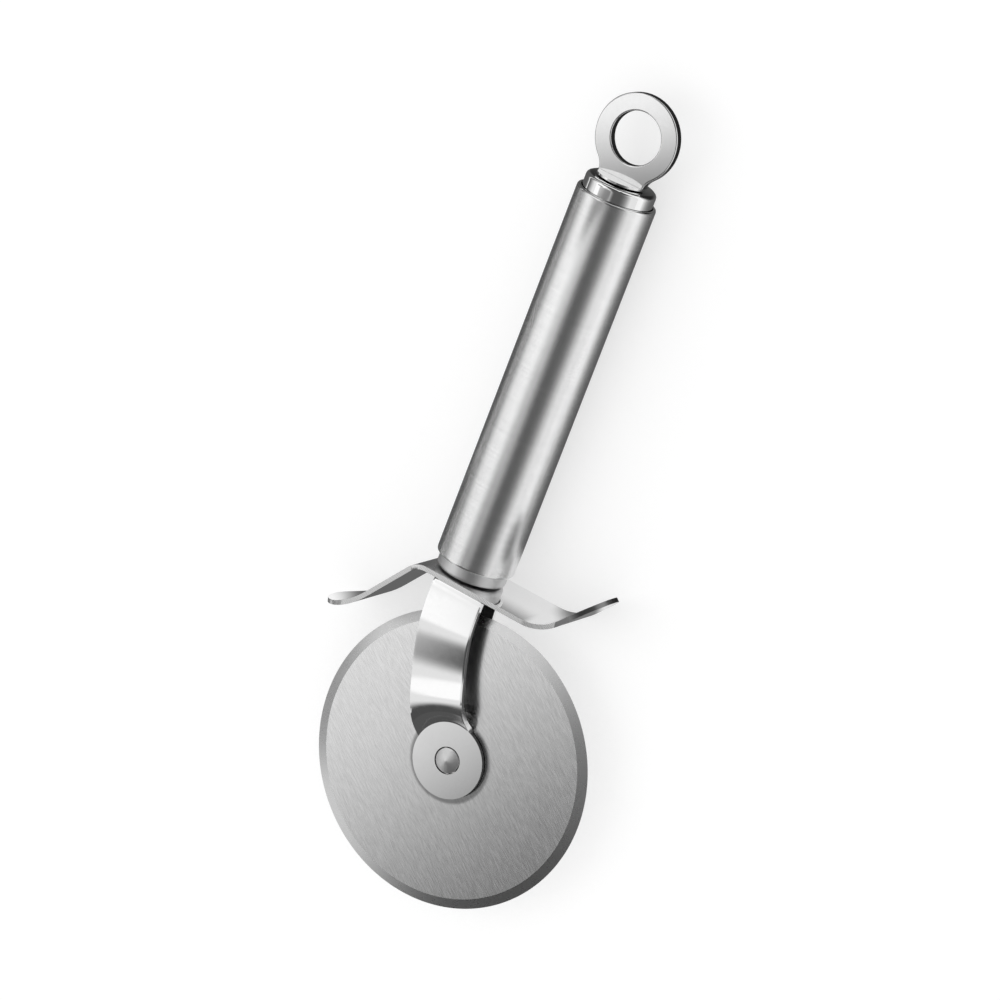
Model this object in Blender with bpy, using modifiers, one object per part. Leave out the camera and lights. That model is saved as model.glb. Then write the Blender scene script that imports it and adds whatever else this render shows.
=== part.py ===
"""Pizza cutter, all steel: a bevelled wheel in a bent strip fork, a thumb guard and a round tube handle.

Metres, +Z up. The cutter lies on its side as on a table: the wheel turns about a line along Z,
the handle runs along +Y to the hanging eye, and the wheel stands to the +X side of the handle's axis.
"""
import bmesh
import bpy
import math
from mathutils import Vector

# Driving dimensions
WHEEL_DIAMETER = 0.0750
WHEEL_THICKNESS = 0.0015
WHEEL_SIDE_OFFSET = 0.01306       # from the handle's axis to the wheel's axle
RIM_CLEARANCE = 0.0061            # from the wheel's rim to the underside of the guard
GUARD_WIDTH = 0.0205
GUARD_TIP_WIDTH = 0.0190
GUARD_THICKNESS = 0.0012
FORK_THICKNESS = 0.0012
TUBE_DIAMETER = 0.0200
TUBE_WALL = 0.0008
TUBE_LENGTH = 0.0983
EYE_DIAMETER = 0.0218
EYE_HOLE_DIAMETER = 0.0131
EYE_THICKNESS = 0.0026
SEAT_GAP = 0.0003                 # left between pieces that seat on or in each other
CUT_OVERRUN = 0.0010              # how far a cutter runs past the face that it cuts

# Heights along the handle, from the axle
WHEEL_RADIUS = WHEEL_DIAMETER / 2
GUARD_UNDERSIDE = WHEEL_RADIUS + RIM_CLEARANCE
GUARD_TOP = GUARD_UNDERSIDE + GUARD_THICKNESS
TUBE_RADIUS = TUBE_DIAMETER / 2
TUBE_BORE_RADIUS = TUBE_RADIUS - TUBE_WALL
PLUG_RADIUS = TUBE_BORE_RADIUS - SEAT_GAP

parts = bpy.data.collections.new("pizza_cutter")
cutters = bpy.data.collections.new("cutters")


def start_scene():
    """Empties the scene and adds the two collections."""
    for old in list(bpy.data.objects):
        bpy.data.objects.remove(old, do_unlink=True)
    bpy.context.scene.collection.children.link(parts)
    bpy.context.scene.collection.children.link(cutters)


def steel(name, colour, roughness):
    """A steel finish of its own for one piece."""
    material = bpy.data.materials.new(name)
    material.use_nodes = True
    shader = material.node_tree.nodes["Principled BSDF"]
    shader.inputs["Base Color"].default_value = (*colour, 1.0)
    shader.inputs["Roughness"].default_value = roughness
    shader.inputs["Metallic"].default_value = 1.0
    return material


def add_piece(name, mesh, carrier, place, turn, material, collection=None):
    """Puts a mesh in the scene as one named piece, carried by an empty."""
    piece = bpy.data.objects.new(name, mesh)
    (collection or parts).objects.link(piece)
    piece.parent = carrier
    piece.location = place
    piece.rotation_euler = turn
    if material:
        mesh.materials.append(material)
    return piece


def add_cutter(piece):
    """Marks a shape as a tool of the modelling, which is not one of the object's pieces."""
    piece.hide_render = True
    piece.display_type = "WIRE"
    return piece


def cut(piece, tool):
    """Takes the tool's shape out of the piece."""
    boolean = piece.modifiers.new("cut_" + tool.name, "BOOLEAN")
    boolean.operation = "DIFFERENCE"
    boolean.solver = "EXACT"
    boolean.object = tool


def unite(piece, tool):
    """Adds the tool's shape to the piece."""
    boolean = piece.modifiers.new("unite_" + tool.name, "BOOLEAN")
    boolean.operation = "UNION"
    boolean.solver = "EXACT"
    boolean.object = tool


def profile_mesh(name, points, closed):
    """A turned shape's profile as (radius, height) points, outer side first from the top down."""
    bm = bmesh.new()
    verts = [bm.verts.new((radius, 0.0, height)) for radius, height in points]
    for here, after in zip(verts, verts[1:]):
        bm.edges.new((here, after))
    if closed:
        bm.edges.new((verts[-1], verts[0]))
    mesh = bpy.data.meshes.new(name)
    bm.to_mesh(mesh)
    bm.free()
    return mesh


WELD_DISTANCE = 0.000002


def turned(name, points, closed, steps, carrier, place, turn, material, collection=None):
    """A turned piece: the profile with a Screw modifier about its own Z axis."""
    piece = add_piece(name, profile_mesh(name, points, closed), carrier, place, turn, material, collection)
    screw = piece.modifiers.new("turn", "SCREW")
    screw.steps = steps
    screw.render_steps = steps
    screw.use_merge_vertices = True
    screw.merge_threshold = WELD_DISTANCE
    screw.use_smooth_shade = False
    return piece


def arc_points(centre, radius, start_deg, end_deg, count):
    """Points of an arc in (radius, height), both ends included."""
    span = [start_deg + (end_deg - start_deg) * i / count for i in range(count + 1)]
    return [(centre[0] + radius * math.cos(math.radians(a)), centre[1] + radius * math.sin(math.radians(a)))
            for a in span]


ALONG_HANDLE = (math.radians(-90), 0.0, 0.0)      # turns a piece's own Z axis to the handle's direction
UPRIGHT = (0.0, 0.0, 0.0)

# The eye's ring, needed for the overall length
CAP_RISE = 0.0036                 # how far the end cap stands out of the tube
EYE_FOOT_RISE = 0.0005            # the foot's height on the cap
EYE_STANDOFF = 0.0105             # from the foot's top to the middle of the eye
TUBE_RISE = 0.0037                # how far the tube starts above the guard, where the plug shows
TUBE_BOTTOM = GUARD_TOP + TUBE_RISE
TUBE_TOP = TUBE_BOTTOM + TUBE_LENGTH
CAP_TOP = TUBE_TOP + CAP_RISE
EYE_FOOT_TOP = CAP_TOP + SEAT_GAP + EYE_FOOT_RISE
EYE_MIDDLE = EYE_FOOT_TOP + EYE_STANDOFF


# Thumb guard: a strip bent to a wave and set across the handle
GUARD_FLAT_FAR = 0.0210           # flat length on the wheel's side of the handle
GUARD_FAR_BEND_RADIUS = 0.0115
GUARD_FAR_RISE_DEG = 49.0         # this wing rises towards the handle
GUARD_FAR_WING = 0.0110
GUARD_FLAT_NEAR = 0.0072
GUARD_NEAR_BEND_RADIUS = 0.0060
GUARD_NEAR_DROP_DEG = 53.0        # this wing drops beside the wheel
GUARD_NEAR_WING = 0.0141
GUARD_TIP_BEND_RADIUS = 0.0220
GUARD_TIP_BEND_DEG = 39.0         # and curls back at its tip
GUARD_BEND_STEPS = 12
GUARD_END_STEPS = 12


def walk(segments, distance):
    """The point at a distance along a path of straight and bent lengths, as (out, up)."""
    out, up, heading = 0.0, 0.0, 0.0
    for length, radius, turn in segments:
        step = min(distance, length)
        if radius:
            swing = math.copysign(step / radius, turn)
            side = math.copysign(radius, turn)
            out += side * (math.sin(heading + swing) - math.sin(heading))
            up += side * (math.cos(heading) - math.cos(heading + swing))
            heading += swing
        else:
            out += step * math.cos(heading)
            up += step * math.sin(heading)
        distance -= step
    return out, up


def straight(length):
    return (length, 0.0, 0.0)


def bend(radius, degrees):
    return (radius * math.radians(abs(degrees)), radius, degrees)


FAR_WING = [straight(GUARD_FLAT_FAR),
            bend(GUARD_FAR_BEND_RADIUS, GUARD_FAR_RISE_DEG),
            straight(GUARD_FAR_WING)]
NEAR_WING = [straight(GUARD_FLAT_NEAR),
             bend(GUARD_NEAR_BEND_RADIUS, -GUARD_NEAR_DROP_DEG),
             straight(GUARD_NEAR_WING),
             bend(GUARD_TIP_BEND_RADIUS, GUARD_TIP_BEND_DEG)]


def wing_rows(segments, side):
    """Rows across one wing from the handle outwards, as (x, y, half width); the end is rounded."""
    end_radius = GUARD_TIP_WIDTH / 2
    total = sum(length for length, radius, turn in segments)
    stations = []
    start = 0.0
    for length, radius, turn in segments:
        count = GUARD_BEND_STEPS if radius else 1
        stations += [start + length * (i + 1) / count for i in range(count)]
        start += length
    taper_starts = segments[0][0]
    rounding_starts = total - end_radius
    rounded = [rounding_starts + end_radius * math.sin(math.radians(85.0 * i / GUARD_END_STEPS))
               for i in range(GUARD_END_STEPS + 1)]
    spacing = end_radius / (GUARD_END_STEPS * 4)
    stations = [s for s in stations if s < total - spacing and all(abs(s - r) > spacing for r in rounded)]
    rows = []
    for station in sorted(stations + rounded):
        out, up = walk(segments, station)
        reach = max(0.0, station - rounding_starts)
        taper = min(1.0, max(0.0, (station - taper_starts) / (rounding_starts - taper_starts)))
        narrowing = (GUARD_WIDTH - GUARD_TIP_WIDTH) / 2 * taper
        half = GUARD_WIDTH / 2 - narrowing - (end_radius - math.sqrt(end_radius ** 2 - reach ** 2))
        rows.append((side * out, GUARD_TOP + up, half))
    return rows


# The frame of the whole part: the middle of its box, on the surface that it lies on
NEAR_REACH = walk(NEAR_WING, sum(length for length, radius, turn in NEAR_WING))[0]
FAR_REACH = walk(FAR_WING, sum(length for length, radius, turn in FAR_WING))[0]
LEFTMOST = min(-NEAR_REACH, WHEEL_SIDE_OFFSET - WHEEL_RADIUS)
RIGHTMOST = max(FAR_REACH, WHEEL_SIDE_OFFSET + WHEEL_RADIUS)
FARTHEST = EYE_MIDDLE + EYE_DIAMETER / 2
LOWEST = max(GUARD_WIDTH / 2, TUBE_RADIUS)
FRAME_PLACE = Vector((-(LEFTMOST + RIGHTMOST) / 2, -(FARTHEST - WHEEL_RADIUS) / 2, LOWEST))

# Axle: a rivet with countersunk ends, and the bush that it clamps between the fork's discs
WHEEL_SIDE_GAP = 0.0003           # running gap between the wheel's face and each disc
BUSH_RADIUS = 0.0045
RIVET_SHANK_RADIUS = 0.0025
RIVET_HEAD_RADIUS = 0.0032
RIVET_HEAD_RIM = 0.00025
RIVET_CONE_RISE = 0.0009
FORK_INNER_AT_AXLE = WHEEL_THICKNESS / 2 + WHEEL_SIDE_GAP
FORK_OUTER_AT_AXLE = FORK_INNER_AT_AXLE + FORK_THICKNESS
HEAD_SEAT_SHARE = 0.50            # of the disc's thickness, the depth of the seat for the rivet's head
HEAD_SEAT = FORK_OUTER_AT_AXLE - HEAD_SEAT_SHARE * FORK_THICKNESS
ROUND_STEPS = 48

# Wheel: a disc ground to a polished bevel on both sides
WHEEL_BEVEL = 0.0025
WHEEL_EDGE_THICKNESS = 0.0001
WHEEL_BORE_RADIUS = BUSH_RADIUS + SEAT_GAP
WHEEL_STEPS = 120


def build_wheel(axle):
    face = WHEEL_THICKNESS / 2
    edge = WHEEL_EDGE_THICKNESS / 2
    flat = WHEEL_RADIUS - WHEEL_BEVEL
    points = [(WHEEL_BORE_RADIUS, face), (flat, face), (WHEEL_RADIUS, edge),
              (WHEEL_RADIUS, -edge), (flat, -face), (WHEEL_BORE_RADIUS, -face)]
    finish = steel("wheel_steel", (0.62, 0.62, 0.62), 0.32)
    return turned("cutting_wheel", points, True, WHEEL_STEPS, axle, (0.0, 0.0, 0.0), UPRIGHT, finish)


def build_bush(frame):
    half = FORK_INNER_AT_AXLE - SEAT_GAP
    bore = RIVET_SHANK_RADIUS + SEAT_GAP
    points = [(bore, half), (BUSH_RADIUS, half), (BUSH_RADIUS, -half), (bore, -half)]
    finish = steel("bush_steel", (0.50, 0.50, 0.50), 0.35)
    place = (WHEEL_SIDE_OFFSET, 0.0, 0.0)
    return turned("wheel_bush", points, True, ROUND_STEPS, frame, place, UPRIGHT, finish)


def build_rivet(frame):
    under = HEAD_SEAT + SEAT_GAP
    rim = under + RIVET_HEAD_RIM
    apex = rim + RIVET_CONE_RISE
    half = [(0.0, apex), (RIVET_HEAD_RADIUS, rim), (RIVET_HEAD_RADIUS, under), (RIVET_SHANK_RADIUS, under)]
    points = half + [(radius, -height) for radius, height in reversed(half)]
    finish = steel("rivet_steel", (0.70, 0.70, 0.70), 0.15)
    place = (WHEEL_SIDE_OFFSET, 0.0, 0.0)
    return turned("axle_rivet", points, False, ROUND_STEPS, frame, place, UPRIGHT, finish)


# Screw through the fork and the guard into the plug, with a lock washer under its head
SCREW_RADIUS = 0.0020
SCREW_HEAD_RADIUS = 0.00285
SCREW_HEAD_HEIGHT = 0.0018
SCREW_HEAD_DOME = 0.0006
SCREW_BITE = 0.0110               # how deep the screw stands in the plug
SCREW_SOCKET_RADIUS = 0.0014
SCREW_SOCKET_DEPTH = 0.0011
SCREW_HOLE_RADIUS = SCREW_RADIUS + SEAT_GAP
LOCK_WASHER_THICKNESS = 0.0006
FORK_TOP = GUARD_UNDERSIDE - SEAT_GAP
FORK_TOP_INSIDE = FORK_TOP - FORK_THICKNESS
WASHER_TOP = FORK_TOP_INSIDE - SEAT_GAP
SCREW_HEAD_TOP = WASHER_TOP - LOCK_WASHER_THICKNESS - SEAT_GAP


def build_lock_washer(frame):
    low = -LOCK_WASHER_THICKNESS
    points = [(SCREW_HOLE_RADIUS, 0.0), (SCREW_HEAD_RADIUS, 0.0),
              (SCREW_HEAD_RADIUS, low), (SCREW_HOLE_RADIUS, low)]
    finish = steel("washer_steel", (0.55, 0.55, 0.55), 0.30)
    place = (0.0, WASHER_TOP, 0.0)
    return turned("lock_washer", points, True, ROUND_STEPS, frame, place, ALONG_HANDLE, finish)


def build_screw(frame):
    """The screw's head hangs below its own zero height, and its shank rises into the plug."""
    end = GUARD_TOP + SEAT_GAP + SCREW_BITE - SCREW_HEAD_TOP
    dome_start = SCREW_HEAD_DOME - SCREW_HEAD_HEIGHT
    points = [(0.0, end), (SCREW_RADIUS, end), (SCREW_RADIUS, 0.0), (SCREW_HEAD_RADIUS, 0.0),
              (SCREW_HEAD_RADIUS, dome_start), (SCREW_HEAD_RADIUS - SCREW_HEAD_DOME, -SCREW_HEAD_HEIGHT),
              (0.0, -SCREW_HEAD_HEIGHT)]
    finish = steel("screw_steel", (0.58, 0.58, 0.58), 0.25)
    place = (0.0, SCREW_HEAD_TOP, 0.0)
    screw = turned("fork_screw", points, False, ROUND_STEPS, frame, place, ALONG_HANDLE, finish)
    low = -SCREW_HEAD_HEIGHT - CUT_OVERRUN
    high = SCREW_SOCKET_DEPTH - SCREW_HEAD_HEIGHT
    socket = [(0.0, high), (SCREW_SOCKET_RADIUS, high), (SCREW_SOCKET_RADIUS, low), (0.0, low)]
    tool = add_cutter(turned("screw_socket", socket, False, 6, frame, place, ALONG_HANDLE, None, cutters))
    cut(screw, tool)
    return screw


def build_guard(frame):
    rows = list(reversed(wing_rows(NEAR_WING, -1))) + wing_rows(FAR_WING, 1)
    bm = bmesh.new()
    pairs = [(bm.verts.new((x, y, -half)), bm.verts.new((x, y, half))) for x, y, half in rows]
    for (low, high), (next_low, next_high) in zip(pairs, pairs[1:]):
        bm.faces.new((low, high, next_high, next_low))
    mesh = bpy.data.meshes.new("thumb_guard")
    bm.to_mesh(mesh)
    bm.free()
    finish = steel("guard_steel", (0.72, 0.72, 0.72), 0.12)
    guard = add_piece("thumb_guard", mesh, frame, (0.0, 0.0, 0.0), UPRIGHT, finish)
    wall = guard.modifiers.new("wall", "SOLIDIFY")
    wall.thickness = GUARD_THICKNESS
    wall.offset = -1.0
    wall.use_even_offset = True
    height = GUARD_THICKNESS + 2 * CUT_OVERRUN
    hole = [(0.0, height), (SCREW_HOLE_RADIUS, height), (SCREW_HOLE_RADIUS, 0.0), (0.0, 0.0)]
    place = (0.0, GUARD_UNDERSIDE - CUT_OVERRUN, 0.0)
    tool = turned("guard_hole", hole, False, ROUND_STEPS, frame, place, ALONG_HANDLE, None, cutters)
    cut(guard, add_cutter(tool))
    return guard


# Fork: one strip with a disc at each end, folded to a U over the wheel and bent sideways to its axle
FORK_SIDE_SHIFT = 0.0006          # from the handle's axis to the middle of the strip's top
FORK_SPREAD = 0.0102              # over the outer faces, at the top
FORK_FLARE = 0.0004               # how much further out each prong stands at its lower end
FORK_HALF_WIDTH = 0.00725
FORK_DISC_RADIUS = 0.0097
FORK_FOLD_RADIUS = 0.0030         # outer radius of the two folds under the guard
FORK_BOW = 0.0002                 # how far each prong bows outwards halfway
FORK_JOGGLE_RUN = 0.0055          # length of the step down to the disc
FORK_FOLD_STEPS = 8
FORK_PRONG_STEPS = 14
FORK_JOGGLE_STEPS = 8
FORK_ACROSS = 8
FORK_DISC_STEPS = 40


def fork_line():
    """The strip's centre line: straight down from the guard, then an arc into the axle."""
    start = FORK_TOP - FORK_FOLD_RADIUS
    side = WHEEL_SIDE_OFFSET - FORK_SIDE_SHIFT
    radius = (side ** 2 + start ** 2) / (2 * side)
    angle = math.asin(start / radius)
    return start, radius, angle


def fork_station(back):
    """Place and direction on the centre line at a distance back from the axle, measured along it."""
    start, radius, angle = fork_line()
    swing = angle - back / radius
    across = Vector((math.cos(swing), math.sin(swing), 0.0))
    place = Vector((FORK_SIDE_SHIFT + radius, start, 0.0)) - across * radius
    return place, across


def prong_height(back, length):
    """The outer face's distance from the wheel's middle plane at a distance back from the axle."""
    share = (back - FORK_DISC_RADIUS) / (length - FORK_DISC_RADIUS)
    prong = FORK_SPREAD / 2 + FORK_FLARE * (1 - share) + FORK_BOW * math.sin(math.pi * share)
    step = min(1.0, (back - FORK_DISC_RADIUS) / FORK_JOGGLE_RUN)
    return FORK_OUTER_AT_AXLE + (prong - FORK_OUTER_AT_AXLE) * math.sin(step * math.pi / 2)


def prong_row(bm, back, length):
    """One row of points across the prong; near the disc the rows are arcs about the axle."""
    place, across = fork_station(back)
    away = place - Vector((WHEEL_SIDE_OFFSET, 0.0, 0.0))
    straightness = min(1.0, (back - FORK_DISC_RADIUS) / (2 * FORK_JOGGLE_RUN))
    height = prong_height(back, length)
    reach = away.length
    full = math.asin(FORK_HALF_WIDTH / reach)
    heading = math.atan2(away.y, away.x)
    row = []
    for i in range(FORK_ACROSS + 1):
        side = 1 - 2 * i / FORK_ACROSS
        flat = place - across * FORK_HALF_WIDTH * side
        angle = heading + full * side
        bowed = Vector((WHEEL_SIDE_OFFSET + reach * math.cos(angle), reach * math.sin(angle), 0.0))
        point = bowed.lerp(flat, straightness)
        row.append(bm.verts.new((point.x, point.y, height)))
    return row


def build_fork(frame):
    start, radius, angle = fork_line()
    length = radius * angle
    bm = bmesh.new()
    rows = []
    inner = FORK_SPREAD / 2 - FORK_FOLD_RADIUS
    profile = [(FORK_TOP, 0.0)]
    for i in range(FORK_FOLD_STEPS):
        turn = math.radians(90.0 * i / FORK_FOLD_STEPS)
        up = start + FORK_FOLD_RADIUS * math.cos(turn)
        profile.append((up, inner + FORK_FOLD_RADIUS * math.sin(turn)))
    for y, z in profile:
        rows.append([bm.verts.new((FORK_SIDE_SHIFT - FORK_HALF_WIDTH * (1 - 2 * i / FORK_ACROSS), y, z))
                     for i in range(FORK_ACROSS + 1)])
    joggle_top = FORK_DISC_RADIUS + FORK_JOGGLE_RUN
    backs = [length + (joggle_top - length) * i / FORK_PRONG_STEPS for i in range(FORK_PRONG_STEPS)]
    backs += [joggle_top - FORK_JOGGLE_RUN * i / FORK_JOGGLE_STEPS for i in range(FORK_JOGGLE_STEPS)]
    rows += [prong_row(bm, back, length) for back in backs]
    # The last row lies on the disc's own rim
    place, across = fork_station(FORK_DISC_RADIUS)
    away = place - Vector((WHEEL_SIDE_OFFSET, 0.0, 0.0))
    heading = math.atan2(away.y, away.x)
    half_angle = math.asin(FORK_HALF_WIDTH / FORK_DISC_RADIUS)

    def rim_vert(turn):
        x = WHEEL_SIDE_OFFSET + FORK_DISC_RADIUS * math.cos(heading + turn)
        y = FORK_DISC_RADIUS * math.sin(heading + turn)
        return bm.verts.new((x, y, FORK_OUTER_AT_AXLE))

    seam = [rim_vert(half_angle * (1 - 2 * i / FORK_ACROSS)) for i in range(FORK_ACROSS + 1)]
    rest = 2 * (math.pi - half_angle)
    rim = [rim_vert(-half_angle - rest * i / FORK_DISC_STEPS) for i in range(1, FORK_DISC_STEPS)]
    rows.append(seam)
    for row, after in zip(rows, rows[1:]):
        for i in range(FORK_ACROSS):
            bm.faces.new((row[i], after[i], after[i + 1], row[i + 1]))
    bm.faces.new(list(reversed(seam + rim)))
    bmesh.ops.recalc_face_normals(bm, faces=bm.faces)
    bm.faces.ensure_lookup_table()
    if bm.faces[-1].normal.z < 0:
        bmesh.ops.reverse_faces(bm, faces=bm.faces)
    mesh = bpy.data.meshes.new("wheel_fork")
    bm.to_mesh(mesh)
    bm.free()
    finish = steel("fork_steel", (0.70, 0.70, 0.70), 0.14)
    fork = add_piece("wheel_fork", mesh, frame, (0.0, 0.0, 0.0), UPRIGHT, finish)
    halves = fork.modifiers.new("halves", "MIRROR")
    halves.use_axis = (False, False, True)
    halves.use_clip = True
    halves.merge_threshold = WELD_DISTANCE
    wall = fork.modifiers.new("wall", "SOLIDIFY")
    wall.thickness = FORK_THICKNESS
    wall.offset = -1.0
    wall.use_even_offset = True
    high = FORK_OUTER_AT_AXLE + CUT_OVERRUN
    shank = RIVET_SHANK_RADIUS + SEAT_GAP
    head = RIVET_HEAD_RADIUS + SEAT_GAP
    stepped = [(0.0, high), (head, high), (head, HEAD_SEAT), (shank, HEAD_SEAT),
               (shank, -HEAD_SEAT), (head, -HEAD_SEAT), (head, -high), (0.0, -high)]
    place = (WHEEL_SIDE_OFFSET, 0.0, 0.0)
    tool = turned("axle_hole", stepped, False, ROUND_STEPS, frame, place, UPRIGHT, None, cutters)
    cut(fork, add_cutter(tool))
    height = FORK_THICKNESS + 2 * CUT_OVERRUN
    hole = [(0.0, height), (SCREW_HOLE_RADIUS, height), (SCREW_HOLE_RADIUS, 0.0), (0.0, 0.0)]
    place = (0.0, FORK_TOP_INSIDE - CUT_OVERRUN, 0.0)
    tool = turned("fork_hole", hole, False, ROUND_STEPS, frame, place, ALONG_HANDLE, None, cutters)
    cut(fork, add_cutter(tool))
    return fork


# Handle: the tube, the plug in its lower end and the cap in its upper end
TUBE_EDGE_RADIUS = 0.0006         # outer rounding of the tube's ends, within its wall
TUBE_LIP_RADIUS = 0.0001          # inner rounding of the tube's ends
PLUG_LENGTH = 0.0180
PLUG_EDGE_RADIUS = 0.0010
CAP_DEPTH = 0.0100                # how deep the cap stands in the tube
CAP_EDGE_RADIUS = 0.0011
EYE_STEM_RADIUS = 0.0030
EYE_STEM_LENGTH = 0.0080
TUBE_STEPS = 96
EDGE_STEPS = 4


def build_tube(frame):
    edge = TUBE_EDGE_RADIUS
    lip = TUBE_LIP_RADIUS
    inside = TUBE_BORE_RADIUS
    points = [(inside, TUBE_LENGTH - lip), (inside + lip, TUBE_LENGTH)]
    points += arc_points((TUBE_RADIUS - edge, TUBE_LENGTH - edge), edge, 90.0, 0.0, EDGE_STEPS)
    points += arc_points((TUBE_RADIUS - edge, edge), edge, 0.0, -90.0, EDGE_STEPS)
    points += [(inside + lip, 0.0), (inside, lip)]
    finish = steel("tube_steel", (0.66, 0.66, 0.66), 0.30)
    place = (0.0, TUBE_BOTTOM, 0.0)
    return turned("handle_tube", points, True, TUBE_STEPS, frame, place, ALONG_HANDLE, finish)


def build_plug(frame):
    """The plug stands on the guard and shows below the tube with a rounded lower edge."""
    edge = PLUG_EDGE_RADIUS
    points = [(SCREW_HOLE_RADIUS, PLUG_LENGTH), (PLUG_RADIUS, PLUG_LENGTH)]
    points += arc_points((PLUG_RADIUS - edge, edge), edge, 0.0, -90.0, EDGE_STEPS)
    points += [(SCREW_HOLE_RADIUS, 0.0)]
    finish = steel("plug_steel", (0.70, 0.70, 0.70), 0.18)
    place = (0.0, GUARD_TOP + SEAT_GAP, 0.0)
    return turned("lower_plug", points, True, TUBE_STEPS, frame, place, ALONG_HANDLE, finish)


def build_cap(frame):
    height = CAP_DEPTH + CAP_RISE
    bore = EYE_STEM_RADIUS + SEAT_GAP
    edge = CAP_EDGE_RADIUS
    points = [(bore, height)]
    points += arc_points((PLUG_RADIUS - edge, height - edge), edge, 90.0, 0.0, EDGE_STEPS)
    points += [(PLUG_RADIUS, 0.0), (bore, 0.0)]
    finish = steel("cap_steel", (0.72, 0.72, 0.72), 0.14)
    place = (0.0, TUBE_TOP - CAP_DEPTH, 0.0)
    return turned("end_cap", points, True, TUBE_STEPS, frame, place, ALONG_HANDLE, finish)


# Hanging eye: a ring plate with a neck, on a round foot and a stem in the cap
EYE_NECK_HALF_WIDTH = 0.0062
EYE_FILLET_RADIUS = 0.0050        # hollow curve from the ring into the neck
EYE_EDGE_RADIUS = 0.0004
EYE_FOOT_RADIUS = 0.0064
EYE_SIDE_SHIFT = -0.0004          # ring and foot were fixed slightly off the tube's axis
EYE_RING_STEPS = 72
EYE_HOLE_STEPS = 56
EYE_FILLET_STEPS = 8


def eye_outline():
    """The plate's outer outline, counter-clockwise from the neck's lower right corner."""
    ring = EYE_DIAMETER / 2
    out = EYE_NECK_HALF_WIDTH + EYE_FILLET_RADIUS
    down = -math.sqrt((ring + EYE_FILLET_RADIUS) ** 2 - out ** 2)
    lean = math.atan2(down, out)
    foot = -EYE_STANDOFF - EYE_FOOT_RISE / 2
    # The hollow curve may run on below the foot's top, and is cut off there
    lost = math.asin(max(0.0, foot - down) / EYE_FILLET_RADIUS)
    right = []
    if down > foot:
        right.append((EYE_NECK_HALF_WIDTH, foot))
    for i in range(EYE_FILLET_STEPS + 1):
        turn = math.pi - lost + (lean + lost) * i / EYE_FILLET_STEPS
        right.append((out + EYE_FILLET_RADIUS * math.cos(turn), down + EYE_FILLET_RADIUS * math.sin(turn)))
    around = math.pi - 2 * lean
    turns = [lean + around * i / EYE_RING_STEPS for i in range(1, EYE_RING_STEPS)]
    top = [(ring * math.cos(turn), ring * math.sin(turn)) for turn in turns]
    left = [(-x, y) for x, y in reversed(right)]
    return right + top + left


def add_loop(curve, points):
    spline = curve.splines.new("POLY")
    spline.points.add(len(points) - 1)
    for point, (x, y) in zip(spline.points, points):
        point.co = (x, y, 0.0, 1.0)
    spline.use_cyclic_u = True


def build_eye(frame):
    curve = bpy.data.curves.new("eye_plate", "CURVE")
    curve.dimensions = "2D"
    curve.fill_mode = "BOTH"
    curve.extrude = EYE_THICKNESS / 2 - EYE_EDGE_RADIUS
    curve.bevel_depth = EYE_EDGE_RADIUS
    curve.bevel_resolution = 1
    curve.offset = -EYE_EDGE_RADIUS
    add_loop(curve, eye_outline())
    hole = EYE_HOLE_DIAMETER / 2
    turns = [2 * math.pi * i / EYE_HOLE_STEPS for i in range(EYE_HOLE_STEPS)]
    add_loop(curve, [(hole * math.cos(turn), hole * math.sin(turn)) for turn in turns])
    drawn = bpy.data.objects.new("eye_plate_curve", curve)
    bpy.context.scene.collection.objects.link(drawn)
    evaluated = drawn.evaluated_get(bpy.context.evaluated_depsgraph_get())
    mesh = bpy.data.meshes.new_from_object(evaluated)
    bm = bmesh.new()
    bm.from_mesh(mesh)
    bmesh.ops.remove_doubles(bm, verts=bm.verts, dist=WELD_DISTANCE)
    bmesh.ops.recalc_face_normals(bm, faces=bm.faces)
    bm.to_mesh(mesh)
    bm.free()
    bpy.data.objects.remove(drawn, do_unlink=True)
    finish = steel("eye_steel", (0.74, 0.74, 0.74), 0.15)
    eye = add_piece("hanging_eye", mesh, frame, (EYE_SIDE_SHIFT, EYE_MIDDLE, 0.0), UPRIGHT, finish)
    foot = [(0.0, EYE_FOOT_RISE), (EYE_FOOT_RADIUS, EYE_FOOT_RISE), (EYE_FOOT_RADIUS, 0.0), (0.0, 0.0)]
    place = (EYE_SIDE_SHIFT, CAP_TOP + SEAT_GAP, 0.0)
    tool = turned("eye_foot", foot, False, TUBE_STEPS, frame, place, ALONG_HANDLE, None, cutters)
    unite(eye, add_cutter(tool))
    stem_top = EYE_FOOT_RISE / 2
    stem_low = -SEAT_GAP - EYE_STEM_LENGTH
    stem = [(0.0, stem_top), (EYE_STEM_RADIUS, stem_top), (EYE_STEM_RADIUS, stem_low), (0.0, stem_low)]
    place = (0.0, CAP_TOP + SEAT_GAP, 0.0)
    tool = turned("eye_stem", stem, False, ROUND_STEPS, frame, place, ALONG_HANDLE, None, cutters)
    unite(eye, add_cutter(tool))
    return eye


# Shading: smooth round the curves, with every edge sharper than this left crisp
SHARP_EDGE_DEG = 30.0
WHEEL_SHARP_EDGE_DEG = 10.0       # less than the bevel's slope, more than a facet of the rim


def shade_smooth(piece, sharp_degrees):
    """Takes the modifiers' shape as the piece's own mesh and shades it smooth up to an angle."""
    evaluated = piece.evaluated_get(bpy.context.evaluated_depsgraph_get())
    mesh = bpy.data.meshes.new_from_object(evaluated)
    piece.modifiers.clear()
    piece.data = mesh
    mesh.shade_smooth()
    mesh.set_sharp_from_angle(angle=math.radians(sharp_degrees))


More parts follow.
